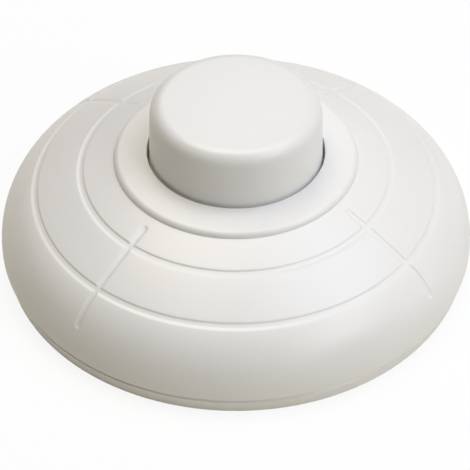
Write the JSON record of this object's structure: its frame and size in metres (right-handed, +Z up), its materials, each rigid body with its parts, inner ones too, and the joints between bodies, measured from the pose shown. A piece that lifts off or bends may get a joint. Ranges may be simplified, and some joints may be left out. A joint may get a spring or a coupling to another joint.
{
  "type": "foot switch",
  "caption": "Round domed in-line floor foot switch with a raised push button in a collar, grooved cover, flat base and a press-to-turn ratchet contact inside.",
  "frame": {"origin": "centre of the base's flat underside, on the floor", "axes": "+Z up along the button's axis, -Y the side seen in the picture, +Y the cord inlets"},
  "size_m": [0.066, 0.066, 0.0254],
  "materials": {
    "white_plastic": "satin gloss moulded",
    "nylon": "matte moulded",
    "brass": "stamped",
    "spring_steel": "drawn",
    "zinc_steel": "zinc plated",
    "silver": "plain"
  },
  "bodies": {
    "housing": {"upper_cover": "white_plastic", "base_plate": "white_plastic", "return_spring": "spring_steel", "detent_spring": "spring_steel", "live_in_contact": "brass", "live_out_contact": "brass", "live_in_contact_tip": "silver", "live_out_contact_tip": "silver", "live_in_terminal": "brass", "live_out_terminal": "brass", "neutral_link": "brass", "terminal_screws": "zinc_steel", "cord_clamp": "white_plastic", "cord_clamp_screws": "zinc_steel", "cover_screws": "zinc_steel"},
    "button": {"push_button": "white_plastic", "drive_pawl": "spring_steel", "pawl_rivet": "zinc_steel"},
    "ratchet": {"ratchet_wheel": "nylon", "contact_star": "brass", "wheel_axle": "zinc_steel"}
  },
  "joints": [
    {"name": "button_press", "type": "slide", "parent": "housing", "child": "button", "axis": [0, 0, -1], "range_m": [0, 0.005], "stiffness_N_per_m": 800, "springref_m": -0.006, "deforming": ["return_spring"]},
    {"name": "wheel_turn", "type": "hinge", "parent": "housing", "child": "ratchet", "pos_m": [0, 0, 0.00929], "axis": [0, 1, 0], "range_deg": [0, 45], "deforming": ["detent_spring"]}
  ],
  "couplings": [
    {"joint": "wheel_turn", "follows": "button_press", "rad_per_m": 157.08}
  ]
}
